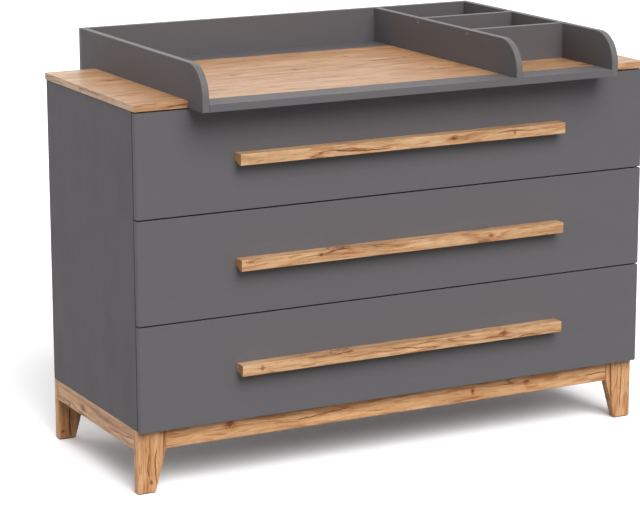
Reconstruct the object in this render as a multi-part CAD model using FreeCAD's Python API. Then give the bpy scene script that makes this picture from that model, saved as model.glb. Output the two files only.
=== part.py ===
import FreeCAD, Part
import math
import os

os.makedirs("parts", exist_ok=True)

V = FreeCAD.Vector

# Changing dresser: a low chest of three full-width drawers on a splayed-leg base, with a
# changing top that sits over its oak top board. Millimetres, Z up from the floor, X along
# the front, drawer fronts towards -Y. The origin is under the middle of the whole piece.

# ---- Case ----
case_width = 1300.0          # over both side panels
case_height = 712.0          # side panels, from the base to the top board
case_depth = 487.5           # side panels, front edge to rear edge
case_board = 16.0            # side panels, bottom panel and stretchers
back_sheet = 3.0             # hardboard back panel
rebate_width = 8.0           # rebate in the side panels that takes the back panel
front_stretcher_depth = 80.0
rear_stretcher_height = 80.0

# ---- Top board ----
top_board = 16.0
top_side_overhang = 2.5
top_front_overhang = 2.0     # past the outer face of the drawer fronts
top_rear_overhang = 1.5

# ---- Base ----
base_height = 146.0          # floor to the underside of the case, glides included
base_board = 22.0            # legs and rails
rail_height = 47.0
leg_top_width = 70.0
leg_foot_width = 42.0
corner_block_leg = 44.0
corner_block_height = 40.0
corner_block_nose = 10.0     # width of the cut-off corners of a block
glide_thickness = 2.0
glide_margin = 3.0           # edge of a foot to the edge of its felt glide

# ---- Drawer fronts ----
front_board = 16.0
front_gap = 3.0              # between the fronts, and under the top board
front_standoff = 4.0         # air between the fronts and the edge of the case
bottom_front_height = 238.0  # the two upper fronts share the rest of the height
bottom_groove_depth = 5.0    # groove in the front and sides that takes the drawer bottom
groove_play = 0.1            # air above and below the drawer bottom in its groove

# ---- Drawer boxes ----
box_rear_room = 38.5         # back of a drawer box to the back panel
box_height = 165.0
box_side = 12.0
box_back = 12.0
box_bottom = 6.0
box_rise = 28.0              # lower edge of the front to lower edge of the sides
bottom_inset = 10.0          # lower edge of the sides to the underside of the bottom
groove_end_play = 0.5        # air at the ends of the grooves

# ---- Handles ----
handle_inset = 234.0         # end of the fronts to the end of the bar
handle_height = 25.0
handle_depth = 31.0
handle_lip = 6.0             # flat lower edge in front of the finger slope
handle_undercut = 8.0        # rise of the finger slope towards the drawer front
handle_ease = 1.2            # rounding along the bar
screw_count = 2
screw_radius = 2.0
screw_bite = 16.0            # depth of the screw in the bar
screw_head_radius = 4.2
screw_head_height = 2.4
screw_clearance = 0.25       # radial, in the drawer front
pilot_clearance = 0.05       # radial, in the bar
screw_end_margin = 96.0      # bar end to the outer screw

# ---- Roller runners ----
runner_gap = 12.5            # side panel to drawer side
runner_steel = 1.2
runner_setback = 2.0         # front end behind the edge of the case
runner_rear_room = 35.0      # rear end of the case runner to the back panel
flange_reach = 8.8           # flanges of the case runner, from its web
track_reach = 8.3            # track of the drawer runner, from its web
track_rise = 20.0            # top of the track above the lower edge of the drawer side
roller_radius = 9.0
roller_width = 6.5
roller_play = 0.2            # air between a roller and the steel that it carries
roller_side_play = 0.2
channel_play = 0.4           # air above the rear roller in the channel
channel_drop = 10.8          # floor of the channel below the underside of the track
axle_radius = 2.0
axle_clearance = 0.1
axle_head_radius = 3.4       # middle to the corners of the hexagonal head
axle_head = 1.0
roller_room = 2.4            # front roller to the lower flange behind it
tab_drop = 6.4               # middle of the front axle to the end of its tab
front_axle_setback = 12.0    # front end of the case runner to its axle
rear_axle_setback = 10.0     # rear end of the drawer runner to its axle
track_end_setback = 22.0     # rear end of the drawer runner to the end of its track
hood_cutback = 40.0          # front end of the case runner to its upper flange
bend_ease = 1.0              # outside of the bends

# ---- Changing top ----
changing_inset = 123.0       # end of the fronts to the side boards
changing_depth = 683.0       # over all, back board included
changing_board = 16.0
changing_wall = 83.0         # height of the boards above the top board
changing_overhang = 77.0     # front edge of the changing top past the drawer fronts
tray_width = 764.0           # between the left board and the divider
compartment_depth = 212.0    # the two closed compartments
corner_radius = 70.0         # front upper corners of the boards
plate_clearance = 0.5        # air between the changing top and the edges of the top board

# ---- Fixings of the changing top ----
bracket_count = 3
bracket_leg = 38.0
bracket_width = 30.0
bracket_steel = 2.0
bracket_span = 800.0         # between the outer brackets
cap_radius = 3.5
cap_thickness = 0.8
cap_drop = 9.0               # upper edge of the divider to the caps

edge_ease = 0.8              # eased edges of the boards
wood_ease = 1.0              # eased edges of the base
over = 1.0                   # cutting shapes run this far past the faces they cut
near = 0.01                  # positions closer than this count as the same

# ---- Levels and planes worked out from the sizes above ----
front_y = -changing_depth / 2 + changing_overhang
case_front_y = front_y + front_board + front_standoff
case_rear_y = case_front_y + case_depth
top_front_y = front_y - top_front_overhang
top_rear_y = case_rear_y + top_rear_overhang
case_half = case_width / 2
inner_half = case_half - case_board
rail_z = base_height - rail_height
case_top_z = base_height + case_height
surface_z = case_top_z + top_board
back_front_y = case_rear_y - back_sheet
axle_height = track_rise - runner_steel - roller_play - roller_radius
channel_floor = track_rise - runner_steel - channel_drop
channel_height = 2 * roller_radius + roller_play + channel_play
rear_axle_height = channel_floor + roller_play + roller_radius
box_half = inner_half - runner_gap
runner_front_y = case_front_y + runner_setback
front_back_y = front_y + front_board
box_rear_y = back_front_y - box_rear_room
runner_rear_y = back_front_y - runner_rear_room
handle_length = case_width - 2 * handle_inset
front_axle_y = runner_front_y + front_axle_setback
rear_axle_y = box_rear_y - rear_axle_setback


# ---- Shapes that many pieces share ----

def block(x, y, z, ease=0.0):
    """A board between pairs of X, Y and Z limits, its edges eased where asked."""
    solid = Part.makeBox(x[1] - x[0], y[1] - y[0], z[1] - z[0], V(x[0], y[0], z[0]))
    if ease > 0:
        solid = solid.makeChamfer(ease, solid.Edges)
    return solid


def mirrored(side, inner, outer):
    """X limits of a piece between two distances from the middle, on the side asked."""
    if side > 0:
        return (inner, outer)
    return (-outer, -inner)


def prism(points, direction):
    """A solid with a flat outline, drawn out along a direction."""
    outline = Part.makePolygon(points + [points[0]])
    return Part.Face(outline).extrude(direction)


def rod(start, direction, radius, length):
    return Part.makeCylinder(radius, length, start, direction)


def edges_along(solid, direction, keep):
    """Straight edges that run in a direction and whose middle passes a test."""
    found = []
    for edge in solid.Edges:
        ends = edge.lastVertex().Point - edge.firstVertex().Point
        if ends.Length < near or ends.cross(direction).Length > near:
            continue
        if keep(edge.CenterOfMass):
            found.append(edge)
    return found


# ---- Case ----

def side_panel(side):
    """Upright side of the case, rebated at the rear for the back panel."""
    panel = block(mirrored(side, inner_half, case_half), (case_front_y, case_rear_y),
                  (base_height, case_top_z), edge_ease)
    rebate = block(mirrored(side, inner_half - over, inner_half + rebate_width),
                   (back_front_y, case_rear_y + over),
                   (base_height - over, case_top_z + over))
    return panel.cut(rebate)


def bottom_panel():
    return block((-inner_half, inner_half), (case_front_y, back_front_y),
                 (base_height, base_height + case_board))


def back_panel():
    reach = inner_half + rebate_width
    return block((-reach, reach), (back_front_y, case_rear_y), (base_height, case_top_z))


def front_stretcher():
    return block((-inner_half, inner_half),
                 (case_front_y, case_front_y + front_stretcher_depth),
                 (case_top_z - case_board, case_top_z))


def rear_stretcher():
    return block((-inner_half, inner_half), (back_front_y - case_board, back_front_y),
                 (case_top_z - rear_stretcher_height, case_top_z))


def top_panel():
    reach = case_half + top_side_overhang
    return block((-reach, reach), (top_front_y, top_rear_y), (case_top_z, surface_z), edge_ease)


# ---- Base ----

def leg(side, end):
    """Leg cut from a board: straight beside the rail, then tapered on its inner edge."""
    outline = [
        (case_half, base_height),
        (case_half - leg_top_width, base_height),
        (case_half - leg_top_width, rail_z),
        (case_half - leg_foot_width, glide_thickness),
        (case_half, glide_thickness),
    ]
    near_y = case_front_y if end < 0 else case_rear_y - base_board
    points = [V(side * x, near_y, z) for x, z in outline]
    solid = prism(points, V(0, base_board, 0))
    return solid.makeChamfer(wood_ease, solid.Edges)


def cross_rail(end):
    """Front or rear rail between two legs, flush with their outer faces."""
    reach = case_half - leg_top_width
    near_y = case_front_y if end < 0 else case_rear_y - base_board
    return block((-reach, reach), (near_y, near_y + base_board),
                 (rail_z, base_height), wood_ease)


def side_rail(side):
    return block(mirrored(side, case_half - base_board, case_half),
                 (case_front_y + base_board, case_rear_y - base_board),
                 (rail_z, base_height), wood_ease)


def corner_block(side, end):
    """Glued block in the corner of a leg and a side rail, its sharp ends cut off."""
    corner_x = side * (case_half - base_board)
    corner_y = case_front_y + base_board if end < 0 else case_rear_y - base_board
    low = base_height - corner_block_height
    outline = [
        (0, 0),
        (corner_block_leg, 0),
        (corner_block_leg, corner_block_nose),
        (corner_block_nose, corner_block_leg),
        (0, corner_block_leg),
    ]
    points = [V(corner_x - side * x, corner_y - end * y, low) for x, y in outline]
    return prism(points, V(0, 0, corner_block_height))


def glide(side, end):
    """Felt pad under a foot."""
    near_y = case_front_y if end < 0 else case_rear_y - base_board
    return block(mirrored(side, case_half - leg_foot_width + glide_margin,
                          case_half - glide_margin),
                 (near_y + glide_margin, near_y + base_board - glide_margin),
                 (0, glide_thickness))


def each_corner(make):
    return Part.makeCompound([make(side, end) for side in (-1, 1) for end in (-1, 1)])


# ---- Drawers ----

def screw_places():
    """X of the handle screws, spread evenly between the end margins."""
    reach = handle_length / 2 - screw_end_margin
    step = 2 * reach / (screw_count - 1)
    return [-reach + step * i for i in range(screw_count)]


def drawer_front(low_z, height):
    """Front board, grooved for the bottom and bored for the handle screws."""
    board = block((-case_half, case_half), (front_y, front_back_y),
                  (low_z, low_z + height), edge_ease)
    groove_low = low_z + box_rise + bottom_inset - groove_play
    reach = box_half - box_side + bottom_groove_depth + groove_end_play
    board = board.cut(block((-reach, reach),
                            (front_back_y - bottom_groove_depth - groove_end_play,
                             front_back_y + over),
                            (groove_low, groove_low + box_bottom + 2 * groove_play)))
    for x in screw_places():
        hole = rod(V(x, front_y - over, low_z + height / 2), V(0, 1, 0),
                   screw_radius + screw_clearance, front_board + 2 * over)
        board = board.cut(hole)
    return board


def drawer_handle(low_z, height):
    """Full-width bar with a sloping finger undercut along its lower rear edge."""
    middle = low_z + height / 2
    low = middle - handle_height / 2
    high = middle + handle_height / 2
    outer_y = front_y - handle_depth
    half = handle_length / 2
    section = [
        (outer_y, low),
        (outer_y + handle_lip, low),
        (front_y, low + handle_undercut),
        (front_y, high),
        (outer_y, high),
    ]
    bar = prism([V(-half, y, z) for y, z in section], V(handle_length, 0, 0))
    along = edges_along(bar, V(1, 0, 0), lambda p: p.y < front_y - near)
    bar = bar.makeFillet(handle_ease, along)
    for x in screw_places():
        pilot = rod(V(x, front_y + over, middle), V(0, -1, 0),
                    screw_radius + pilot_clearance, screw_bite + 2 * over)
        bar = bar.cut(pilot)
    return bar


def handle_screws(low_z, height):
    """Screws that hold the bar from inside the drawer."""
    screws = []
    for x in screw_places():
        seat = V(x, front_back_y, low_z + height / 2)
        head = rod(seat, V(0, 1, 0), screw_head_radius, screw_head_height)
        shank = rod(seat, V(0, -1, 0), screw_radius, front_board + screw_bite)
        screws.append(head.fuse(shank))
    return Part.makeCompound(screws)


def drawer_side(side, low_z):
    """Side of the box, grooved inside for the bottom."""
    z = low_z + box_rise
    board = block(mirrored(side, box_half - box_side, box_half),
                  (front_back_y, box_rear_y), (z, z + box_height))
    groove_low = z + bottom_inset - groove_play
    groove = block(mirrored(side, box_half - box_side - over,
                            box_half - box_side + bottom_groove_depth + groove_end_play),
                   (front_back_y - over, box_rear_y + over),
                   (groove_low, groove_low + box_bottom + 2 * groove_play))
    return board.cut(groove)


def drawer_back(low_z):
    """Back of the box, standing on the bottom between the sides."""
    reach = box_half - box_side
    z = low_z + box_rise
    return block((-reach, reach), (box_rear_y - box_back, box_rear_y),
                 (z + bottom_inset + box_bottom, z + box_height))


def drawer_bottom(low_z):
    reach = box_half - box_side + bottom_groove_depth
    z = low_z + box_rise + bottom_inset
    return block((-reach, reach), (front_back_y - bottom_groove_depth, box_rear_y),
                 (z, z + box_bottom))


# ---- Roller runners ----

def axle(web_x, reach, y, z):
    """Axle riveted to a web, its hexagonal head outside the roller."""
    head_start = roller_width + 2 * roller_side_play
    pin = rod(V(web_x, y, z), V(reach, 0, 0), axle_radius, head_start)
    corners = [math.radians(60 * i) for i in range(6)]
    head = prism([V(web_x + reach * head_start,
                    y + axle_head_radius * math.cos(turn),
                    z + axle_head_radius * math.sin(turn)) for turn in corners],
                 V(reach * axle_head, 0, 0))
    return pin.fuse(head)


def roller(web_x, reach, y, z):
    """Nylon roller with a bore that runs on its axle."""
    face = V(web_x + reach * roller_side_play, y, z)
    out = V(reach, 0, 0)
    wheel = rod(face, out, roller_radius, roller_width)
    return wheel.cut(rod(face, out, axle_radius + axle_clearance, roller_width))


def case_web_x(side):
    return side * (inner_half - runner_steel)


def drawer_web_x(side):
    return side * (box_half + runner_steel)


def case_runner(side, low_z):
    """Channel on the side panel: the drawer's rear roller runs between its flanges."""
    base = low_z + box_rise
    floor = base + channel_floor
    roof = floor + channel_height
    web_in = inner_half - runner_steel
    lower_y = front_axle_y + roller_radius + roller_room
    web_x = mirrored(side, web_in, inner_half)
    inside_x = mirrored(side, web_in - flange_reach - over, web_in)
    open_y = runner_front_y - over
    body = block(mirrored(side, web_in - flange_reach, inner_half), (runner_front_y, runner_rear_y),
                 (floor - runner_steel, roof + runner_steel))
    bends = edges_along(body, V(0, 1, 0), lambda p: abs(abs(p.x) - inner_half) < near)
    body = body.makeChamfer(bend_ease, bends)
    body = body.cut(block(inside_x, (open_y, runner_rear_y + over), (floor, roof)))
    body = body.cut(block(inside_x, (open_y, lower_y), (floor - runner_steel - over, roof)))
    body = body.cut(block(inside_x, (open_y, runner_front_y + hood_cutback),
                          (floor, roof + runner_steel + over)))
    tab = block(web_x, (runner_front_y, lower_y), (base + axle_height - tab_drop, roof))
    body = body.fuse(tab)
    return body.fuse(axle(case_web_x(side), -side, front_axle_y, base + axle_height))


def drawer_runner(side, low_z):
    """Strip folded under the drawer side and out over the front roller."""
    base = low_z + box_rise
    web_out = box_half + runner_steel
    y = (front_back_y + runner_setback, box_rear_y)
    web = block(mirrored(side, box_half, web_out), y, (base - runner_steel, base + track_rise))
    ledge = block(mirrored(side, box_half - box_side, web_out), y, (base - runner_steel, base))
    track = block(mirrored(side, box_half, web_out + track_reach),
                  (y[0], box_rear_y - track_end_setback),
                  (base + track_rise - runner_steel, base + track_rise))
    body = web.fuse([ledge, track]).removeSplitter()
    bends = edges_along(body, V(0, 1, 0),
                        lambda p: (abs(abs(p.x) - web_out) < near and p.z < base)
                        or (abs(abs(p.x) - box_half) < near and p.z > base + track_rise - near))
    body = body.makeChamfer(bend_ease, bends)
    return body.fuse(axle(drawer_web_x(side), side, rear_axle_y, base + rear_axle_height))


def front_rollers(low_z):
    """Rollers on the case runners that carry the tracks of the drawer."""
    z = low_z + box_rise + axle_height
    return Part.makeCompound([roller(case_web_x(side), -side, front_axle_y, z)
                              for side in (-1, 1)])


def rear_rollers(low_z):
    """Rollers on the drawer that run in the channels of the case."""
    z = low_z + box_rise + rear_axle_height
    return Part.makeCompound([roller(drawer_web_x(side), side, rear_axle_y, z)
                              for side in (-1, 1)])


# ---- Changing top ----

changing_half = case_half - changing_inset
changing_front_y = front_y - changing_overhang
changing_rear_y = changing_front_y + changing_depth
wall_rear_y = changing_rear_y - changing_board
wall_top_z = surface_z + changing_wall
skirt_z = surface_z - changing_board
tray_left_x = changing_half - changing_board
divider_x = tray_width - tray_left_x
rear_cross_y = wall_rear_y - compartment_depth - changing_board
front_cross_y = rear_cross_y - compartment_depth - changing_board


def rounded_board(x, notched):
    """Upright board, rounded at its front corner; a notched one steps down past the top board."""
    low = skirt_z if notched else surface_z
    bulge = corner_radius * (1 - math.sqrt(0.5))
    start = V(x[0], changing_front_y, wall_top_z - corner_radius)
    middle = V(x[0], changing_front_y + bulge, wall_top_z - bulge)
    finish = V(x[0], changing_front_y + corner_radius, wall_top_z)
    chain = [finish, V(x[0], wall_rear_y, wall_top_z), V(x[0], wall_rear_y, low)]
    if notched:
        chain += [
            V(x[0], top_rear_y + plate_clearance, low),
            V(x[0], top_rear_y + plate_clearance, surface_z),
            V(x[0], top_front_y - plate_clearance, surface_z),
            V(x[0], top_front_y - plate_clearance, low),
        ]
    chain += [V(x[0], changing_front_y, low), start]
    edges = [Part.Arc(start, middle, finish).toShape()]
    edges += [Part.makeLine(a, b) for a, b in zip(chain, chain[1:])]
    solid = Part.Face(Part.Wire(edges)).extrude(V(x[1] - x[0], 0, 0))
    outer = [edge for edge in solid.Edges
             if edge.BoundBox.ZMin > surface_z + over or edge.BoundBox.YMax < top_front_y - over]
    outer = [edge for edge in outer if edge.BoundBox.XLength < over]
    return solid.makeChamfer(edge_ease, outer)


def side_board(side):
    return rounded_board(mirrored(side, changing_half - changing_board, changing_half), True)


def divider_board():
    return rounded_board((divider_x, divider_x + changing_board), False)


def changing_back():
    """Back board across the ends of the side boards."""
    return block((-changing_half, changing_half), (wall_rear_y, changing_rear_y),
                 (skirt_z, wall_top_z), edge_ease)


def cross_divider(y):
    return block((divider_x + changing_board, tray_left_x), (y, y + changing_board),
                 (surface_z, wall_top_z))


def changing_rail(y):
    """Rail between the side boards, its upper face level with the top board."""
    return block((-tray_left_x, tray_left_x), y, (skirt_z, surface_z))


def screw_caps():
    """Caps over the screws that hold the cross dividers to the divider."""
    caps = []
    for y in (front_cross_y, rear_cross_y):
        place = V(divider_x, y + changing_board / 2, wall_top_z - cap_drop)
        caps.append(rod(place, V(-1, 0, 0), cap_radius, cap_thickness))
    return Part.makeCompound(caps)


def bracket(x):
    """Angle bracket from the rear of the case to the underside of the rear rail."""
    half = bracket_width / 2
    low = case_top_z - bracket_leg
    upright = block((x - half, x + half), (case_rear_y, case_rear_y + bracket_steel),
                    (low, case_top_z))
    arm = block((x - half, x + half), (case_rear_y, case_rear_y + bracket_leg),
                (case_top_z - bracket_steel, case_top_z))
    return upright.fuse(arm).removeSplitter()


def brackets():
    step = bracket_span / (bracket_count - 1)
    return Part.makeCompound([bracket(-bracket_span / 2 + step * i)
                              for i in range(bracket_count)])


# ---- The whole piece ----

upper_front_height = (case_height - bottom_front_height - 3 * front_gap) / 2
drawers = [
    ("bottom", base_height, bottom_front_height),
    ("middle", base_height + bottom_front_height + front_gap, upper_front_height),
    ("top", base_height + bottom_front_height + 2 * front_gap + upper_front_height,
     upper_front_height),
]
sides = [("left", -1), ("right", 1)]
ends = [("front", -1), ("rear", 1)]

nodes = {
    "bottom_panel": bottom_panel(),
    "back_panel": back_panel(),
    "front_stretcher": front_stretcher(),
    "rear_stretcher": rear_stretcher(),
    "top_panel": top_panel(),
    "base_corner_blocks": each_corner(corner_block),
    "foot_glides": each_corner(glide),
    "changing_back_board": changing_back(),
    "changing_divider": divider_board(),
    "cross_divider_front": cross_divider(front_cross_y),
    "cross_divider_rear": cross_divider(rear_cross_y),
    "changing_front_rail": changing_rail((changing_front_y, top_front_y - plate_clearance)),
    "changing_rear_rail": changing_rail((top_rear_y + plate_clearance, wall_rear_y)),
    "screw_caps": screw_caps(),
    "changing_brackets": brackets(),
}
for side_name, side in sides:
    nodes[side_name + "_side_panel"] = side_panel(side)
    nodes["base_rail_" + side_name] = side_rail(side)
    nodes["changing_" + side_name + "_board"] = side_board(side)
    for end_name, end in ends:
        nodes["leg_" + end_name + "_" + side_name] = leg(side, end)
for end_name, end in ends:
    nodes["base_rail_" + end_name] = cross_rail(end)
for name, low_z, height in drawers:
    nodes["drawer_front_" + name] = drawer_front(low_z, height)
    nodes["handle_" + name] = drawer_handle(low_z, height)
    nodes["handle_screws_" + name] = handle_screws(low_z, height)
    nodes["drawer_back_" + name] = drawer_back(low_z)
    nodes["drawer_bottom_" + name] = drawer_bottom(low_z)
    nodes["case_runners_" + name] = Part.makeCompound([case_runner(side, low_z)
                                                       for side in (-1, 1)])
    nodes["drawer_runners_" + name] = Part.makeCompound([drawer_runner(side, low_z)
                                                         for side in (-1, 1)])
    nodes["front_rollers_" + name] = front_rollers(low_z)
    nodes["rear_rollers_" + name] = rear_rollers(low_z)
    for side_name, side in sides:
        nodes["drawer_side_" + name + "_" + side_name] = drawer_side(side, low_z)

for name, shape in nodes.items():
    shape.exportStep("parts/" + name + ".step")
print(len(nodes), "nodes")
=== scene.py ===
import math

import bmesh
import bpy
from mathutils import Matrix, Vector


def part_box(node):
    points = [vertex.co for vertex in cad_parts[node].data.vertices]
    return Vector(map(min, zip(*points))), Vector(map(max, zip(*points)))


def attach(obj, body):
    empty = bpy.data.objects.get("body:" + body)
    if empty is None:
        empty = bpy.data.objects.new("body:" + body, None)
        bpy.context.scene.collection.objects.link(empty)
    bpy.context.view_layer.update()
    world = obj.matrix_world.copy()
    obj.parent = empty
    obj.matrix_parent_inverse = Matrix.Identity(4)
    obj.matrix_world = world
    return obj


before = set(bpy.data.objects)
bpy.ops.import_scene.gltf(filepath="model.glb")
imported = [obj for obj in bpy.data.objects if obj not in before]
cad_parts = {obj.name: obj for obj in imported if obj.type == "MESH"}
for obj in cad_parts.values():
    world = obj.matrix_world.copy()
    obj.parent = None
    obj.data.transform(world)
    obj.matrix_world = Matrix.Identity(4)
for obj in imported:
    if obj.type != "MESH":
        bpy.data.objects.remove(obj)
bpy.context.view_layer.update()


# ---- Case: side panels, bottom panel and stretchers ----
# Chipboard with a matt graphite melamine face that has a faint pressed grain. The cut edges
# carry a thin tape of the same colour, a little lighter and smoother than the faces.

def add(tree, kind, sockets=None, **settings):
    """A node of one kind; sockets are linked or set by name or index."""
    made = tree.nodes.new(kind)
    for name, value in settings.items():
        setattr(made, name, value)
    for name, value in (sockets or {}).items():
        if isinstance(value, bpy.types.NodeSocket):
            tree.links.new(value, made.inputs[name])
        else:
            made.inputs[name].default_value = value
    return made


def open_group(name, takes, gives):
    """An empty node group with its named inputs and outputs, and its two end nodes."""
    tree = bpy.data.node_groups.new(name, "ShaderNodeTree")
    for label, kind, value in takes:
        socket = tree.interface.new_socket(label, in_out="INPUT", socket_type=kind)
        if value is not None:
            socket.default_value = value
    for label, kind in gives:
        tree.interface.new_socket(label, in_out="OUTPUT", socket_type=kind)
    return tree, add(tree, "NodeGroupInput").outputs, add(tree, "NodeGroupOutput").inputs


def sum_of(tree, operation, first, second, third=0.0):
    return add(tree, "ShaderNodeMath", {0: first, 1: second, 2: third},
               operation=operation).outputs[0]


def stretched(tree, place, pull):
    """A place in metres turned into texture space: pull is how often it repeats per metre."""
    return add(tree, "ShaderNodeVectorMath", {0: place, 1: pull},
               operation="MULTIPLY").outputs[0]


def streaks(tree, place, pull, detail=2.0, roughness=0.5):
    """Noise drawn out along the grain."""
    noise = add(tree, "ShaderNodeTexNoise",
                {"Vector": stretched(tree, place, pull), "Scale": 1.0,
                 "Detail": detail, "Roughness": roughness})
    return noise.outputs[0]


def fade(tree, value, start, finish, low=0.0, high=1.0):
    """Smooth step of a value from start to finish."""
    return add(tree, "ShaderNodeMapRange",
               {0: value, 1: start, 2: finish, 3: low, 4: high},
               interpolation_type="SMOOTHSTEP").outputs[0]


def between(tree, share, one, other):
    """Colour between two colours."""
    return add(tree, "ShaderNodeMix", {0: share, 6: one, 7: other},
               data_type="RGBA").outputs[2]


def darkened(tree, share, colour, shade):
    return add(tree, "ShaderNodeMix", {0: share, 6: colour, 7: shade},
               data_type="RGBA", blend_type="MULTIPLY").outputs[2]


VECTOR, VALUE, COLOUR = "NodeSocketVector", "NodeSocketFloat", "NodeSocketColor"

# Where the tape is: faces that look sideways to the board's thickness.
tape, take, give = open_group("edge tape", [("Thickness", VECTOR, (0, 0, 1))], [("Tape", VALUE)])
facing = add(tape, "ShaderNodeVectorMath",
             {0: add(tape, "ShaderNodeTexCoord").outputs["Normal"], 1: take["Thickness"]},
             operation="DOT_PRODUCT").outputs["Value"]
upright = sum_of(tape, "ABSOLUTE", facing, 0.0)
tape.links.new(fade(tape, upright, 0.9, 0.3), give["Tape"])

# Faint pressed grain: long soft streaks, short pores and a slow cloud of wear and dust.
melamine, take, give = open_group("melamine grain", [("Place", VECTOR, None)],
                                  [("Shade", VALUE), ("Pores", VALUE), ("Rub", VALUE)])
soft = streaks(melamine, take["Place"], (3.0, 150.0, 150.0), 3.0, 0.55)
cloud = streaks(melamine, take["Place"], (2.0, 3.1, 2.7), 3.0, 0.5)
melamine.links.new(sum_of(melamine, "MULTIPLY_ADD", soft, 0.6,
                          sum_of(melamine, "MULTIPLY", cloud, 0.4)), give["Shade"])
melamine.links.new(fade(melamine, streaks(melamine, take["Place"], (45.0, 900.0, 900.0), 1.0),
                        0.42, 0.62), give["Pores"])
melamine.links.new(fade(melamine, streaks(melamine, take["Place"], (9.0, 14.0, 12.0), 4.0, 0.6),
                        0.35, 0.7), give["Rub"])

GRAIN_ALONG = {"x": (0, 0, 0), "y": (0, 0, -math.pi / 2), "z": (0, math.pi / 2, 0)}
THICKNESS = {"x": (1, 0, 0), "y": (0, 1, 0), "z": (0, 0, 1)}


def finish(name, rough, metal=0.0, specular=0.5):
    """A new material with its shader, whose plain numbers are set on its own sockets."""
    made = bpy.data.materials.new(name)
    made.use_nodes = True
    shader = made.node_tree.nodes["Principled BSDF"]
    shader.inputs["Roughness"].default_value = rough
    shader.inputs["Metallic"].default_value = metal
    shader.inputs["Specular IOR Level"].default_value = specular
    return made, made.node_tree, shader


def place_of(tree, along, shift=(0.0, 0.0, 0.0)):
    """Object position turned so that its X runs along the grain, moved to its own figure."""
    there = add(tree, "ShaderNodeTexCoord").outputs["Object"]
    return add(tree, "ShaderNodeMapping",
               {"Vector": there, "Location": shift, "Rotation": GRAIN_ALONG[along]}).outputs[0]


def use(tree, group, sockets):
    """A shared group placed in a material."""
    placed = add(tree, "ShaderNodeGroup", node_tree=group)
    for name, value in sockets.items():
        if isinstance(value, bpy.types.NodeSocket):
            tree.links.new(value, placed.inputs[name])
        else:
            placed.inputs[name].default_value = value
    return placed.outputs


def raise_from(tree, shader, height, depth):
    """Bump of a given depth in metres."""
    bump = add(tree, "ShaderNodeBump", {"Strength": 1.0, "Distance": depth, "Height": height})
    tree.links.new(bump.outputs[0], shader.inputs["Normal"])


def board(name, along, thin, dark, light, tape_colour, shift=(0.0, 0.0, 0.0)):
    """Melamine board: grain direction, thickness direction, face colours and tape colour."""
    made, tree, shader = finish(name, 0.6, specular=0.2)
    place = place_of(tree, along, shift)
    grain = use(tree, melamine, {"Place": place})
    edge = use(tree, tape, {"Thickness": THICKNESS[thin]})["Tape"]
    face = between(tree, grain["Shade"], dark, light)
    face = between(tree, edge, face, tape_colour)
    face = darkened(tree, sum_of(tree, "MULTIPLY", grain["Pores"], 0.07), face,
                    (0.5, 0.5, 0.5, 1))
    tree.links.new(face, shader.inputs["Base Color"])
    rough = fade(tree, grain["Rub"], 0.0, 1.0, 0.58, 0.64)
    rough = sum_of(tree, "MULTIPLY_ADD", edge, -0.10, rough)
    tree.links.new(rough, shader.inputs["Roughness"])
    raise_from(tree, shader, sum_of(tree, "SUBTRACT", grain["Shade"], grain["Pores"]), 0.00004)
    return made


def dress(material, *names):
    """Gives CAD nodes their material."""
    for name in names:
        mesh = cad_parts[name].data
        mesh.materials.clear()
        mesh.materials.append(material)


graphite_dark = (0.126, 0.120, 0.127, 1)
graphite_light = (0.138, 0.131, 0.139, 1)
graphite_tape = (0.134, 0.129, 0.136, 1)
# Painted shade: a darker copy of the same graphite, for the side panels and for the cross boards
# and rear rail of the changing top, which get less light than the fronts.
shaded_graphite_dark = (0.111, 0.103, 0.110, 1)
shaded_graphite_light = (0.120, 0.113, 0.119, 1)
dress(board("graphite side panel", "z", "x", shaded_graphite_dark, shaded_graphite_light, graphite_tape),
      "left_side_panel", "right_side_panel")
dress(board("graphite shelf panel", "x", "z", graphite_dark, graphite_light, graphite_tape),
      "bottom_panel", "front_stretcher")
dress(board("graphite rear stretcher", "x", "y", graphite_dark, graphite_light, graphite_tape),
      "rear_stretcher")


# ---- Back panel and drawer bottoms ----
# Hardboard sheets, 3 mm in the back and 6 mm in the drawers. The smooth side has a grey
# lacquer, and pressed fibres show through it. The back lies in the rebate of the sides.

def hardboard(name, along, thin):
    made, tree, shader = finish(name, 0.6)
    place = place_of(tree, along)
    fibre = streaks(tree, place, (420.0, 610.0, 530.0), 4.0, 0.65)
    cloud = streaks(tree, place, (5.0, 6.3, 5.6), 3.0)
    raw = use(tree, tape, {"Thickness": THICKNESS[thin]})["Tape"]
    lacquer = between(tree, fade(tree, fibre, 0.3, 0.7), (0.20, 0.195, 0.195, 1),
                      (0.27, 0.265, 0.262, 1))
    lacquer = between(tree, fade(tree, cloud, 0.35, 0.75, 0.0, 0.35), lacquer,
                      (0.30, 0.295, 0.29, 1))
    tree.links.new(between(tree, raw, lacquer, (0.17, 0.105, 0.06, 1)),
                   shader.inputs["Base Color"])
    tree.links.new(fade(tree, fibre, 0.2, 0.8, 0.5, 0.7), shader.inputs["Roughness"])
    raise_from(tree, shader, fibre, 0.00008)
    return made


dress(hardboard("lacquered back sheet", "z", "y"), "back_panel")


# ---- Back panel: tacks ----
# Zinc-plated steel tacks with low domed heads. They are driven through the sheet all round,
# into the rebates of the sides and the rear edges of bottom panel and rear stretcher.

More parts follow.
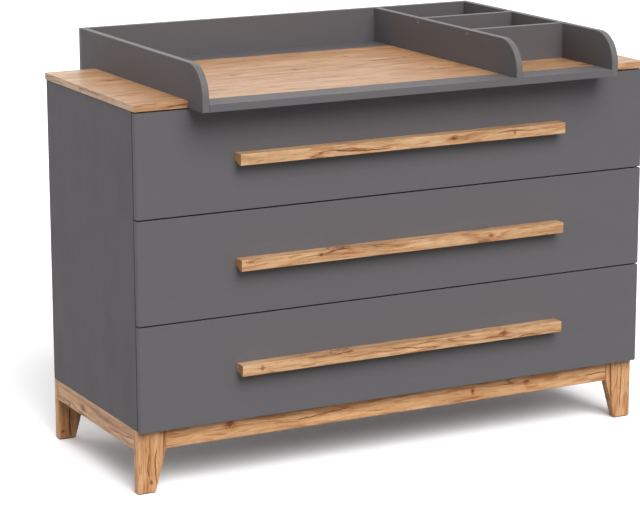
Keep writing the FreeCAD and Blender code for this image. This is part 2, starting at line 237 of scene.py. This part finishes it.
def zinc(name):
    """Zinc-plated steel: blue-grey crystals, a brushed grain and duller rubbed places."""
    made, tree, shader = finish(name, 0.4, metal=1.0)
    place = place_of(tree, "y")
    crystal = add(tree, "ShaderNodeTexVoronoi",
                  {"Vector": stretched(tree, place, (160.0, 160.0, 160.0)), "Scale": 1.0})
    speck = add(tree, "ShaderNodeSeparateColor", {0: crystal.outputs["Color"]}).outputs[0]
    dull = streaks(tree, place, (18.0, 60.0, 60.0), 4.0, 0.6)
    tree.links.new(between(tree, speck, (0.50, 0.51, 0.53, 1), (0.62, 0.63, 0.64, 1)),
                   shader.inputs["Base Color"])
    tree.links.new(fade(tree, dull, 0.3, 0.7, 0.30, 0.48), shader.inputs["Roughness"])
    raise_from(tree, shader, streaks(tree, place, (40.0, 1500.0, 1500.0), 1.0), 0.00003)
    return made


def turned(bm, place, facing, profile, steps=24):
    """Adds a head turned about an outward axis from (radius, height) pairs; gives its rings."""
    turn = Matrix.Translation(place) @ Vector(facing).to_track_quat("Z", "Y").to_matrix().to_4x4()
    rings = []
    for radius, height in profile:
        angles = [2 * math.pi * step / steps for step in range(steps)]
        rings.append([bm.verts.new(turn @ Vector((radius * math.cos(angle),
                                                  radius * math.sin(angle), height)))
                      for angle in angles])
    for low, high in zip(rings, rings[1:]):
        for step in range(steps):
            bm.faces.new((low[step - 1], low[step], high[step], high[step - 1]))
    bm.faces.new(rings[0])
    return rings, turn


def piece_from(bm, name, material, body, softness):
    """Turns a mesh in the making into a smooth, bevelled piece that rides on a body."""
    bmesh.ops.recalc_face_normals(bm, faces=bm.faces)
    made = bpy.data.meshes.new(name)
    bm.to_mesh(made)
    bm.free()
    made.materials.append(material)
    made.shade_smooth()
    piece = bpy.data.objects.new(name, made)
    bpy.context.scene.collection.objects.link(piece)
    bevel = piece.modifiers.new("soft edges", "BEVEL")
    bevel.width, bevel.segments, bevel.limit_method = softness, 2, "ANGLE"
    bevel.angle_limit = math.radians(35)
    bevel.harden_normals = True
    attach(piece, body)


def spread(start, end, pitch):
    """Evenly spaced places from start to end, at most a pitch apart."""
    count = math.ceil((end - start) / pitch)
    return [start + (end - start) * step / count for step in range(count + 1)]


tack_profile = [(0.0016, 0.0), (0.0016, 0.0002), (0.0012, 0.0005), (0.0006, 0.0007)]
tack_margin, tack_pitch = 0.004, 0.145
edge_line = 0.008              # middle of the 16 mm boards behind the sheet
plated = zinc("zinc plated steel")
low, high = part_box("back_panel")
spots = [(x, z) for x in (low.x + tack_margin, high.x - tack_margin)
         for z in spread(low.z + tack_margin, high.z - tack_margin, tack_pitch)]
spots += [(x, z) for z in (low.z + edge_line, high.z - edge_line)
          for x in spread(low.x + tack_pitch / 2, high.x - tack_pitch / 2, tack_pitch)]
tacks = bmesh.new()
for x, z in spots:
    rings, _ = turned(tacks, Vector((x, high.y, z)), (0, 1, 0), tack_profile, steps=12)
    tacks.faces.new(rings[-1])
piece_from(tacks, "back_sheet_tacks", plated, "cabinet", softness=0.0001)


# ---- Top board ----
# Board with a knotty oak decor, its long figure running across the dresser. Edges have
# taped decor too, so their grain runs along the edge and not as end grain.

# The decor: pale ground with streaks that sway along the board, reddish dashes, thin dark
# cracks and scattered knots.
oak, take, give = open_group(
    "knotty oak", [("Place", VECTOR, None), ("Tint", COLOUR, (1, 1, 1, 1))],
    [("Colour", COLOUR), ("Groove", VALUE), ("Matt", VALUE)])
sway = add(oak, "ShaderNodeTexNoise",
           {"Vector": stretched(oak, take["Place"], (4.5, 14.0, 14.0)), "Scale": 1.0,
            "Detail": 2.0})
sway = add(oak, "ShaderNodeVectorMath", {0: sway.outputs["Color"], 1: (0.5, 0.5, 0.5)},
           operation="SUBTRACT").outputs[0]
knot_cell = add(oak, "ShaderNodeTexVoronoi",
                {"Vector": stretched(oak, take["Place"], (3.4, 10.0, 10.0)), "Scale": 1.0,
                 "Randomness": 1.0}, feature="F1")
knot_here = fade(oak, add(oak, "ShaderNodeSeparateColor",
                          {0: knot_cell.outputs["Color"]}).outputs[0], 0.58, 0.64)
knot_near = fade(oak, knot_cell.outputs["Distance"], 0.42, 0.0)
knot_near = sum_of(oak, "MULTIPLY", knot_near, knot_here)
sway = add(oak, "ShaderNodeVectorMath", {0: sway, 1: (0.0, 0.036, 0.036)},
           operation="MULTIPLY").outputs[0]
swayed = add(oak, "ShaderNodeVectorMath", {0: take["Place"], 1: sway},
             operation="ADD").outputs[0]
pushed = add(oak, "ShaderNodeCombineXYZ",
             {1: sum_of(oak, "MULTIPLY", knot_near, 0.012),
              2: sum_of(oak, "MULTIPLY", knot_near, 0.012)}).outputs[0]
bent = add(oak, "ShaderNodeVectorMath", {0: swayed, 1: pushed}, operation="ADD").outputs[0]
figure = streaks(oak, bent, (3.0, 40.0, 40.0), 3.0, 0.55)
band = streaks(oak, bent, (9.0, 125.0, 125.0), 3.0, 0.55)
fine = streaks(oak, bent, (26.0, 400.0, 400.0), 3.0, 0.6)
tone = sum_of(oak, "MULTIPLY_ADD", figure, 0.46,
              sum_of(oak, "MULTIPLY_ADD", band, 0.34, sum_of(oak, "MULTIPLY", fine, 0.20)))
ground = add(oak, "ShaderNodeValToRGB", {0: tone})
ground.color_ramp.interpolation = "B_SPLINE"
stops = ground.color_ramp.elements
stops[0].position, stops[0].color = 0.34, (0.330, 0.155, 0.064, 1)
stops[1].position, stops[1].color = 0.64, (0.720, 0.460, 0.250, 1)
for position, colour in [(0.43, (0.470, 0.245, 0.106, 1)), (0.50, (0.560, 0.312, 0.144, 1)),
                         (0.56, (0.625, 0.370, 0.182, 1))]:
    stops.new(position).color = colour
dash = fade(oak, streaks(oak, bent, (13.0, 150.0, 150.0), 2.0, 0.5), 0.53, 0.64)
colour = darkened(oak, sum_of(oak, "MULTIPLY", dash, 0.85), ground.outputs[0],
                  (0.74, 0.55, 0.43, 1))
pores = fade(oak, streaks(oak, bent, (34.0, 640.0, 640.0), 2.0, 0.6), 0.56, 0.68)
colour = darkened(oak, sum_of(oak, "MULTIPLY", pores, 0.34), colour, (0.52, 0.42, 0.33, 1))
line = streaks(oak, bent, (1.6, 26.0, 26.0), 2.0, 0.45)
line = sum_of(oak, "ABSOLUTE", sum_of(oak, "SUBTRACT", line, 0.5), 0.0)
line = fade(oak, line, 0.018, 0.004)
crack_zone = fade(oak, streaks(oak, take["Place"], (4.6, 12.0, 12.0), 2.0), 0.52, 0.60)
crack = sum_of(oak, "MULTIPLY", line, crack_zone)
colour = darkened(oak, sum_of(oak, "MULTIPLY", crack, 0.80), colour, (0.34, 0.22, 0.14, 1))
knot_edge = sum_of(oak, "MULTIPLY_ADD", streaks(oak, take["Place"], (60.0, 130.0, 130.0), 3.0),
                   0.10, knot_cell.outputs["Distance"])
halo = sum_of(oak, "MULTIPLY", fade(oak, knot_edge, 0.27, 0.10), knot_here)
heart = sum_of(oak, "MULTIPLY", fade(oak, knot_edge, 0.15, 0.08), knot_here)
colour = darkened(oak, sum_of(oak, "MULTIPLY", halo, 0.65), colour, (0.62, 0.46, 0.33, 1))
colour = darkened(oak, sum_of(oak, "MULTIPLY", heart, 0.80), colour, (0.30, 0.19, 0.12, 1))
oak.links.new(darkened(oak, 1.0, colour, take["Tint"]), give["Colour"])
groove = sum_of(oak, "MULTIPLY_ADD", pores, 0.6, sum_of(oak, "MAXIMUM", crack, heart))
oak.links.new(groove, give["Groove"])
oak.links.new(fade(oak, sum_of(oak, "ADD", fine, pores), 0.2, 1.4, 0.30, 0.48), give["Matt"])

# A knot at a chosen place: a ragged dark heart in a soft brown halo.
knot, take, give = open_group(
    "placed knot", [("Place", VECTOR, None), ("Centre", VECTOR, (0, 0, 0)),
                    ("Size", VECTOR, (1, 1, 1))], [("Halo", VALUE), ("Heart", VALUE)])
apart = add(knot, "ShaderNodeVectorMath", {0: take["Place"], 1: take["Centre"]},
            operation="SUBTRACT").outputs[0]
apart = add(knot, "ShaderNodeVectorMath", {0: apart, 1: take["Size"]},
            operation="DIVIDE").outputs[0]
reach = add(knot, "ShaderNodeVectorMath", {0: apart}, operation="LENGTH").outputs["Value"]
ragged = streaks(knot, take["Place"], (240.0, 240.0, 240.0), 3.0, 0.6)
reach = sum_of(knot, "MULTIPLY_ADD", ragged, 1.2, sum_of(knot, "SUBTRACT", reach, 0.6))
knot.links.new(fade(knot, reach, 1.0, 0.3), give["Halo"])
knot.links.new(fade(knot, reach, 0.6, 0.25), give["Heart"])

# A crack at a chosen place: a thin line that rises or bows as it runs along the grain.
split, take, give = open_group(
    "placed crack", [("Place", VECTOR, None), ("Centre", VECTOR, (0, 0, 0)),
                     ("Along", VECTOR, (1, 0, 0)), ("Across", VECTOR, (0, 0, 1)),
                     ("Half length", VALUE, 0.05), ("Half width", VALUE, 0.001),
                     ("Rise", VALUE, 0.0), ("Bow", VALUE, 0.0)], [("Line", VALUE)])
apart = add(split, "ShaderNodeVectorMath", {0: take["Place"], 1: take["Centre"]},
            operation="SUBTRACT").outputs[0]
run, lift = [add(split, "ShaderNodeVectorMath", {0: apart, 1: take[axis]},
                 operation="DOT_PRODUCT").outputs["Value"] for axis in ("Along", "Across")]
run = sum_of(split, "DIVIDE", run, take["Half length"])
curve = sum_of(split, "MULTIPLY", run, sum_of(split, "MULTIPLY_ADD", run, take["Bow"],
                                              take["Rise"]))
wander = streaks(split, take["Place"], (70.0, 70.0, 70.0), 2.0)
curve = sum_of(split, "MULTIPLY_ADD", wander, 0.006, sum_of(split, "SUBTRACT", curve, 0.003))
miss = sum_of(split, "ABSOLUTE", sum_of(split, "SUBTRACT", lift, curve), 0.0)
line = fade(split, sum_of(split, "DIVIDE", miss, take["Half width"]), 1.0, 0.3)
split.links.new(sum_of(split, "MULTIPLY", line,
                       fade(split, sum_of(split, "ABSOLUTE", run, 0.0), 1.0, 0.6)),
                give["Line"])

# On the faces across the grain the place is turned, so that taped edges have long grain.
turn_edges, take, give = open_group(
    "grain along the edges", [("Place", VECTOR, None), ("Edge place", VECTOR, None),
                              ("Along", VECTOR, (1, 0, 0))],
    [("Place", VECTOR), ("On end", VALUE)])
facing = add(turn_edges, "ShaderNodeVectorMath",
             {0: add(turn_edges, "ShaderNodeTexCoord").outputs["Normal"], 1: take["Along"]},
             operation="DOT_PRODUCT").outputs["Value"]
on_end = sum_of(turn_edges, "GREATER_THAN", sum_of(turn_edges, "ABSOLUTE", facing, 0.0), 0.8)
turn_edges.links.new(add(turn_edges, "ShaderNodeMix",
                         {0: on_end, 4: take["Place"], 5: take["Edge place"]},
                         data_type="VECTOR").outputs[1], give["Place"])
turn_edges.links.new(on_end, give["On end"])


def oak_piece(node, along, edge_along, shift, tint, knots=(), cracks=(), sheen=0.3,
              end_shade=None):
    """Oak decor on one piece, its figure started at its own place.

    Knots are (offset from the piece's middle, half sizes). Cracks are (offset, axis along,
    axis across, half length, half width, rise, bow). An end shade darkens sawn ends.
    """
    made, tree, shader = finish("oak " + node.replace("_", " "), 0.36, specular=sheen)
    turned_grain = use(tree, turn_edges, {"Place": place_of(tree, along, shift),
                                          "Edge place": place_of(tree, edge_along, shift),
                                          "Along": THICKNESS[along]})
    decor = use(tree, oak, {"Place": turned_grain["Place"], "Tint": tint})
    colour, groove = decor["Colour"], decor["Groove"]
    if end_shade:
        colour = darkened(tree, turned_grain["On end"], colour, end_shade)
    own = add(tree, "ShaderNodeTexCoord").outputs["Object"]
    middle = (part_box(node)[0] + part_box(node)[1]) / 2
    for offset, half in knots:
        mark = use(tree, knot, {"Place": own, "Centre": middle + Vector(offset),
                                "Size": half})
        colour = darkened(tree, mark["Halo"], colour, (0.80, 0.63, 0.49, 1))
        colour = darkened(tree, mark["Heart"], colour, (0.46, 0.30, 0.19, 1))
        groove = sum_of(tree, "MAXIMUM", groove, mark["Heart"])
    for offset, line, across, half_length, half_width, rise, bow in cracks:
        mark = use(tree, split, {"Place": own, "Centre": middle + Vector(offset),
                                 "Along": THICKNESS[line], "Across": THICKNESS[across],
                                 "Half length": half_length, "Half width": half_width,
                                 "Rise": rise, "Bow": bow})
        colour = darkened(tree, mark["Line"], colour, (0.34, 0.21, 0.13, 1))
        groove = sum_of(tree, "MAXIMUM", groove, mark["Line"])
    tree.links.new(colour, shader.inputs["Base Color"])
    tree.links.new(decor["Matt"], shader.inputs["Roughness"])
    raise_from(tree, shader, sum_of(tree, "MULTIPLY", groove, -1.0), 0.00012)
    dress(made, node)


deep = 0.05                    # past the thickness of a board, so a knot goes right through
top_tint = (0.96, 0.92, 0.90, 1)
oak_piece("top_panel", "x", "y", (0.31, 0.12, 0.0), top_tint,
          knots=[((-0.292, 0.011, 0), (0.026, 0.013, deep)),
                 ((-0.279, -0.168, 0), (0.014, 0.008, deep)),
                 ((-0.127, 0.025, 0), (0.014, 0.013, deep)),
                 ((-0.171, 0.201, 0), (0.012, 0.007, deep)),
                 ((0.068, 0.141, 0), (0.015, 0.010, deep)),
                 ((0.160, -0.105, 0), (0.020, 0.008, deep)),
                 ((-0.6525, 0.033, 0.001), (0.012, 0.034, 0.006)),
                 ((-0.572, 0.075, 0.008), (0.030, 0.009, 0.006))],
          cracks=[((-0.6525, -0.020, 0.003), "y", "z", 0.045, 0.0022, 0.001, 0.0),
                  ((-0.551, -0.2555, 0.000), "x", "z", 0.032, 0.0018, 0.0026, 0.0),
                  ((-0.600, -0.115, 0.008), "x", "y", 0.050, 0.004, 0.010, 0.0)],
          sheen=0.75)


# ---- Base: legs and rails ----
# Solid board of 22 mm with the oak decor. Legs have upright grain and a straight taper on
# the inner edge. Rails butt against them, with a fine V where the eased edges meet.

base_tint = (1.115, 1.066, 1.05, 1)
oak_piece("leg_front_left", "z", "z", (0.0, 0.0, 0.1), base_tint,
          knots=[((-0.0035, 0, -0.049), (0.007, deep, 0.012))],
          cracks=[((-0.0106, 0, -0.009), "z", "x", 0.030, 0.0018, 0.001, 0.003),
                  ((0.007, 0, -0.014), "z", "x", 0.048, 0.0022, 0.0, 0.004)])
oak_piece("leg_front_right", "z", "z", (0.7, 0.23, 0.1), base_tint,
          cracks=[((-0.021, 0, 0.026), "z", "x", 0.062, 0.0026, -0.003, 0.0),
                  ((0.008, 0, 0.004), "z", "x", 0.060, 0.0018, 0.002, 0.0)])
oak_piece("leg_rear_left", "z", "z", (1.4, 0.46, 0.1), base_tint,
          knots=[((-0.026, 0, -0.054), (0.008, deep, 0.008))],
          cracks=[((-0.0075, 0, -0.033), "z", "x", 0.045, 0.0030, 0.0, 0.002)])
oak_piece("leg_rear_right", "z", "z", (2.1, 0.69, 0.1), base_tint)
oak_piece("base_rail_front", "x", "x", (1.2, 0.55, 0.27), base_tint,
          knots=[((-0.425, 0, 0.010), (0.026, deep, 0.022)),
                 ((0.206, 0, 0.000), (0.009, deep, 0.017)),
                 ((0.354, 0, 0.004), (0.016, deep, 0.012)),
                 ((0.371, 0, 0.018), (0.018, deep, 0.009)),
                 ((0.5800, 0, 0.000), (0.005, deep, 0.090))],
          cracks=[((-0.193, 0, 0.001), "x", "z", 0.080, 0.0020, 0.0065, 0.0),
                  ((0.552, 0, -0.002), "x", "z", 0.042, 0.0020, 0.002, 0.0)])
oak_piece("base_rail_left", "y", "y", (2.3, 1.35, 0.2), base_tint,
          knots=[((0, 0.070, -0.004), (deep, 0.030, 0.016))],
          cracks=[((0, -0.155, -0.006), "y", "z", 0.080, 0.0020, -0.006, 0.004)])
oak_piece("base_rail_rear", "x", "x", (4.1, 0.75, 0.2), base_tint)
oak_piece("base_rail_right", "y", "y", (3.3, 2.35, 0.2), base_tint)


# ---- Base: corner blocks and felt glides ----
# Raw pine blocks glued in the corners of legs and side rails, and stuck-on felt pads that
# keep the feet from marking the floor.

made, tree, shader = finish("raw pine", 0.66, specular=0.3)
place = place_of(tree, "z", (0.2, 0.4, 0.1))
rings = streaks(tree, place, (4.0, 130.0, 120.0), 2.0)
late_wood = fade(tree, rings, 0.48, 0.62)
tree.links.new(between(tree, late_wood, (0.66, 0.49, 0.30, 1), (0.50, 0.31, 0.15, 1)),
               shader.inputs["Base Color"])
tree.links.new(fade(tree, rings, 0.3, 0.7, 0.6, 0.75), shader.inputs["Roughness"])
raise_from(tree, shader, late_wood, 0.0001)
dress(made, "base_corner_blocks")

made, tree, shader = finish("felt pad", 0.95, specular=0.15)
hairs = streaks(tree, place_of(tree, "x"), (900.0, 1300.0, 1100.0), 4.0, 0.7)
tree.links.new(between(tree, fade(tree, hairs, 0.3, 0.7), (0.035, 0.032, 0.030, 1),
                       (0.10, 0.092, 0.085, 1)), shader.inputs["Base Color"])
raise_from(tree, shader, hairs, 0.0004)
dress(made, "foot_glides")


# ---- Drawer fronts ----
# Graphite board with taped edges, one sheet sawn into three so that the faint grain runs on
# from front to front. The bars' screws pass through it.

# Painted shade: the fronts' tape is darker than their faces, for the shade on their edges in the
# seams.
shaded_front_tape = (0.107, 0.104, 0.112, 1)
for count, level in enumerate(("bottom", "middle", "top")):
    dress(board("graphite front " + level, "x", "y", graphite_dark, graphite_light,
                shaded_front_tape, (0.4 * count, 0.0, 0.2 * count)), "drawer_front_" + level)


# ---- Handles ----
# Square oak bars over most of the front, with a finger slope cut along the lower rear edge.
# Each is held by pan-head screws of zinc-plated steel from inside the drawer.

bar_knots = {
    "top": [((0.119, 0, 0.003), (0.018, deep, 0.012)), ((0.279, 0, 0.002), (0.007, deep, 0.009))],
    "middle": [((-0.395, 0, 0.007), (0.022, deep, 0.005)),
               ((-0.222, 0, 0.005), (0.013, deep, 0.008)),
               ((0.220, 0, 0.002), (0.014, deep, 0.009))],
    "bottom": [((-0.368, 0, 0.002), (0.008, deep, 0.011)),
               ((0.257, 0, 0.005), (0.020, deep, 0.013))],
}
bar_cracks = {
    "top": [((-0.118, 0, -0.005), "x", "z", 0.085, 0.0018, -0.005, 0.005)],
    "middle": [((-0.170, 0, 0.011), "x", "z", 0.035, 0.0018, 0.0, 0.0)],
    "bottom": [((0.016, 0, 0.000), "x", "z", 0.085, 0.0016, -0.008, 0.0),
               ((-0.168, 0, 0.011), "x", "z", 0.035, 0.0018, 0.0, 0.0),
               ((0.321, 0, -0.008), "x", "z", 0.025, 0.0014, 0.001, 0.0)],
}
bar_tint = (1.08, 1.14, 1.26, 1)
# Painted shade: the bars' ends across the grain are darkened to the shade on their left ends; it
# also stands for darker end grain.
bar_end_shade = (0.76, 0.69, 0.64, 1)
for count, level in enumerate(("bottom", "middle", "top")):
    oak_piece("handle_" + level, "x", "z", (5.2 + 1.3 * count, 0.11 * count, 0.07),
              bar_tint, bar_knots[level], bar_cracks[level], end_shade=bar_end_shade)
dress(plated, "handle_screws_bottom", "handle_screws_middle", "handle_screws_top")


# ---- Drawer boxes ----
# Sides and backs of 12 mm board in a light grey foil with a linen-fine print, joined to the
# front, with a lacquered hardboard bottom in their grooves.

foil_dark = (0.44, 0.435, 0.425, 1)
foil_light = (0.54, 0.535, 0.525, 1)
foil_tape = (0.56, 0.555, 0.545, 1)
box_side = board("grey foil side", "y", "x", foil_dark, foil_light, foil_tape)
box_back = board("grey foil back", "x", "y", foil_dark, foil_light, foil_tape)
box_bottom = hardboard("lacquered drawer bottom", "x", "z")
for level in ("bottom", "middle", "top"):
    dress(box_side, "drawer_side_" + level + "_left", "drawer_side_" + level + "_right")
    dress(box_back, "drawer_back_" + level)
    dress(box_bottom, "drawer_bottom_" + level)


# ---- Drawer boxes: cam fittings ----
# Die-cast zinc cams in the inner faces of the drawer sides, flush but for their thin rims.
# A turn of the cross recess pulls the side tight to the drawer front.

def cross_recess(bm, turn, rim, height, arm, width, depth):
    """Closes a turned head with a flat top that has a tapered cross pressed into it.

    Arm is half the length of the cross, width and depth are those of its slots.
    """
    half, taper = width / 2, 0.72
    corner = [(arm, -half), (arm, half), (half, half)]
    cross = [(x * math.cos(quarter) - y * math.sin(quarter),
              x * math.sin(quarter) + y * math.cos(quarter))
             for quarter in (0, math.pi / 2, math.pi, 3 * math.pi / 2) for x, y in corner]
    mouth = [bm.verts.new(turn @ Vector((x, y, height))) for x, y in cross]
    ground = [bm.verts.new(turn @ Vector((x * taper, y * taper, height - depth)))
              for x, y in cross]
    for step in range(len(cross)):
        bm.faces.new((mouth[step - 1], mouth[step], ground[step], ground[step - 1]))
    bm.faces.new(ground)
    edges = [bm.edges.get((loop[step - 1], loop[step])) for loop in (rim, mouth)
             for step in range(len(loop))]
    bmesh.ops.triangle_fill(bm, edges=edges, use_beauty=True)


cam_profile = [(0.0075, 0.0), (0.0075, 0.0003), (0.0071, 0.0005)]
cam_setback = 0.034            # front end of a side to the middle of its cams
cam_heights = (0.055, 0.130)   # above the lower edge of a side
cam_rim = cam_profile[-1][1]
cam_cross = (0.0034, 0.0014, 0.0004)
for level in ("bottom", "middle", "top"):
    cams = bmesh.new()
    for side, facing in (("left", 1), ("right", -1)):
        low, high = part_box("drawer_side_" + level + "_" + side)
        inner = high.x if side == "left" else low.x
        for height in cam_heights:
            place = Vector((inner, low.y + cam_setback, low.z + height))
            rings, turn = turned(cams, place, (facing, 0, 0), cam_profile)
            cross_recess(cams, turn, rings[-1], cam_rim, *cam_cross)
    piece_from(cams, "cams_" + level, plated, "drawer_" + level, softness=0.0001)


# ---- Runners and rollers ----
# Folded steel strips with a baked white coat on case and drawer, and nylon rollers that
# turn on riveted axles. The coat is worn along the tracks.

made, tree, shader = finish("coated runner steel", 0.35)
place = place_of(tree, "y")
orange_peel = streaks(tree, place, (350.0, 420.0, 400.0), 2.0)
scuffs = fade(tree, streaks(tree, place, (9.0, 260.0, 240.0), 4.0, 0.65), 0.58, 0.72)
tree.links.new(between(tree, scuffs, (0.74, 0.735, 0.72, 1), (0.52, 0.515, 0.50, 1)),
               shader.inputs["Base Color"])
tree.links.new(fade(tree, scuffs, 0.0, 1.0, 0.30, 0.50), shader.inputs["Roughness"])
raise_from(tree, shader, orange_peel, 0.00002)
for level in ("bottom", "middle", "top"):
    dress(made, "case_runners_" + level, "drawer_runners_" + level)

made, tree, shader = finish("nylon roller", 0.42)
place = place_of(tree, "x")
haze = streaks(tree, place, (120.0, 140.0, 150.0), 3.0)
tree.links.new(between(tree, haze, (0.70, 0.69, 0.65, 1), (0.82, 0.81, 0.78, 1)),
               shader.inputs["Base Color"])
tree.links.new(fade(tree, haze, 0.3, 0.7, 0.36, 0.50), shader.inputs["Roughness"])
raise_from(tree, shader, streaks(tree, place, (2400.0, 30.0, 30.0), 1.0), 0.00002)
for level in ("bottom", "middle", "top"):
    dress(made, "front_rollers_" + level, "rear_rollers_" + level)


# ---- Changing top ----
# Walls of the same graphite board, with rounded front corners, around a tray and three
# compartments. Rails fill the space in front of and behind the oak top board.

# Painted light: the walls' tape is lighter and warmer than the case's, for the brighter, warmer
# light on their edges.
lit_wall_tape = (0.154, 0.145, 0.149, 1)
# Painted shade: the wall boards are darker than the other graphite, for their shaded inner faces.
shaded_wall_dark = (0.102, 0.095, 0.101, 1)
shaded_wall_light = (0.111, 0.104, 0.109, 1)
dress(board("graphite wall board", "y", "x", shaded_wall_dark, shaded_wall_light, lit_wall_tape),
      "changing_left_board", "changing_right_board", "changing_divider")
# Painted shade: the cross boards take the darker copy of the graphite.
dress(board("graphite cross board", "x", "y", shaded_graphite_dark, shaded_graphite_light, lit_wall_tape),
      "changing_back_board", "cross_divider_front", "cross_divider_rear")
# Painted light: the front rail's graphite is tinted warm, for the warmer light that falls on it.
warm_lit_rail_dark = (0.128, 0.118, 0.120, 1)
warm_lit_rail_light = (0.140, 0.129, 0.131, 1)
dress(board("graphite front rail", "x", "z", warm_lit_rail_dark, warm_lit_rail_light, graphite_tape),
      "changing_front_rail")
# Painted shade: the rear rail takes the darker copy of the graphite too.
dress(board("graphite rear rail", "x", "z", shaded_graphite_dark, shaded_graphite_light, graphite_tape),
      "changing_rear_rail")


# ---- Changing top: screw caps and angle brackets ----
# Stuck-on plastic caps hide the screws of the cross boards. Bent steel angles tie the top
# to the rear of the case.

made, tree, shader = finish("plastic cap", 0.5)
place = place_of(tree, "x")
mottle = streaks(tree, place, (700.0, 800.0, 760.0), 2.0)
tree.links.new(between(tree, mottle, (0.165, 0.155, 0.150, 1), (0.225, 0.215, 0.21, 1)),
               shader.inputs["Base Color"])
raise_from(tree, shader, mottle, 0.00003)
dress(made, "screw_caps")
dress(plated, "changing_brackets")


# ---- Changing top: bracket screws ----
# Zinc-plated pan-head screws with a cross recess, two through each leg of an angle: into the
# rear stretcher through the back sheet, and up into the rear rail.

def solids_along(node, axis, gap):
    """Limits along an axis of the solids in one node, which stand further apart than gap."""
    spots = sorted(vertex.co[axis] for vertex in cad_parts[node].data.vertices)
    starts = [0] + [step + 1 for step in range(len(spots) - 1)
                    if spots[step + 1] - spots[step] > gap]
    return [(spots[start], spots[end - 1])
            for start, end in zip(starts, starts[1:] + [len(spots)])]


pan_profile = [(0.0039, 0.0), (0.0039, 0.0008), (0.0037, 0.0016), (0.0032, 0.0022),
               (0.0026, 0.0024)]
pan_height = pan_profile[-1][1]
pan_cross = (0.0021, 0.0009, 0.0013)
angle_steel = 0.002
screw_inset = 0.010            # free edge of a leg to its screws
low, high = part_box("changing_brackets")
screws = bmesh.new()
for left, right in solids_along("changing_brackets", axis=0, gap=0.1):
    for x in (left + (right - left) / 4, right - (right - left) / 4):
        for place, facing in (
                (Vector((x, low.y + angle_steel, low.z + screw_inset)), (0, 1, 0)),
                (Vector((x, high.y - screw_inset, high.z - angle_steel)), (0, 0, -1))):
            rings, turn = turned(screws, place, facing, pan_profile)
            cross_recess(screws, turn, rings[-1], pan_height, *pan_cross)
piece_from(screws, "bracket_screws", plated, "cabinet", softness=0.00012)


# ---- Studio ----
# A wide pale floor and an even white sky. A broad soft lamp shines from high in front, a
# fainter one from behind and a low one from the left. The long lens is at the front left.

floor_reach = 60.0
mesh = bpy.data.meshes.new("studio floor")
mesh.from_pydata([(-floor_reach, -floor_reach, 0), (floor_reach, -floor_reach, 0),
                  (floor_reach, floor_reach, 0), (-floor_reach, floor_reach, 0)],
                 [], [(0, 1, 2, 3)])
floor = bpy.data.objects.new("studio_floor", mesh)
bpy.context.scene.collection.objects.link(floor)

floor_bounce = (0.24, 0.236, 0.232, 1)      # what the floor throws back on the dresser
floor_mirrored = (0.98, 0.98, 0.985, 1)
floor_seen = (1.25, 1.25, 1.26, 1)          # whitened for the camera only
floor_glow = (0.056, 0.049, 0.048, 1)       # lifts the shadow for the camera only
made, tree, shader = finish("pale floor", 0.9, specular=0.0)
path = add(tree, "ShaderNodeLightPath").outputs
seen = sum_of(tree, "MAXIMUM", path["Is Camera Ray"],
              sum_of(tree, "MAXIMUM", path["Is Glossy Ray"], path["Is Transmission Ray"]))
pale = between(tree, seen, floor_bounce, floor_mirrored)
tree.links.new(between(tree, path["Is Camera Ray"], pale, floor_seen),
               shader.inputs["Base Color"])
shader.inputs["Emission Strength"].default_value = 1.0
tree.links.new(between(tree, path["Is Camera Ray"], (0, 0, 0, 1), floor_glow),
               shader.inputs["Emission Color"])
mesh.materials.append(made)

world = bpy.data.worlds.new("studio sky")
world.use_nodes = True
bpy.context.scene.world = world
tree = world.node_tree
sky = tree.nodes["Background"]
path = add(tree, "ShaderNodeLightPath").outputs
seen = sum_of(tree, "MAXIMUM", path["Is Camera Ray"],
              sum_of(tree, "MAXIMUM", path["Is Glossy Ray"], path["Is Transmission Ray"]))
sky_strength = 0.40
tree.links.new(sum_of(tree, "MULTIPLY_ADD", seen, 1.0 - sky_strength, sky_strength),
               sky.inputs["Strength"])
sky.inputs["Color"].default_value = (1.0, 1.0, 1.0, 1)

lamps = [
    ("soft key", (-0.04, -1.0, 0.92), 2.80, 42),
    ("rear wash", (-0.06, 1.0, 0.80), 0.74, 52),
    ("low fill", (-1.0, -0.20, 0.10), 0.60, 24),
]
for name, towards, strength, breadth in lamps:
    lamp = bpy.data.lights.new(name, "SUN")
    lamp.energy = strength
    lamp.angle = math.radians(breadth)
    stand = bpy.data.objects.new(name.replace(" ", "_"), lamp)
    stand.rotation_euler = Vector(towards).to_track_quat("Z", "Y").to_euler()
    bpy.context.scene.collection.objects.link(stand)

eye = Vector((-2.7291, -5.0963, 1.7634))
heading, dip, roll = math.radians(27.556), math.radians(13.031), math.radians(-0.144)
ahead = Vector((math.sin(heading) * math.cos(dip), math.cos(heading) * math.cos(dip),
                -math.sin(dip)))
right = Vector((math.cos(heading), -math.sin(heading), 0))
up = right.cross(ahead)
right, up = (right * math.cos(roll) + up * math.sin(roll),
             up * math.cos(roll) - right * math.sin(roll))
lens = bpy.data.cameras.new("long lens")
lens.sensor_width = 36.0
lens.lens = 141.1
lens.clip_end = 200.0
camera = bpy.data.objects.new("long_lens", lens)
camera.matrix_world = Matrix((right, up, -ahead)).transposed().to_4x4()
camera.location = eye
bpy.context.scene.collection.objects.link(camera)
bpy.context.scene.camera = camera
bpy.context.scene.view_settings.view_transform = "Standard"
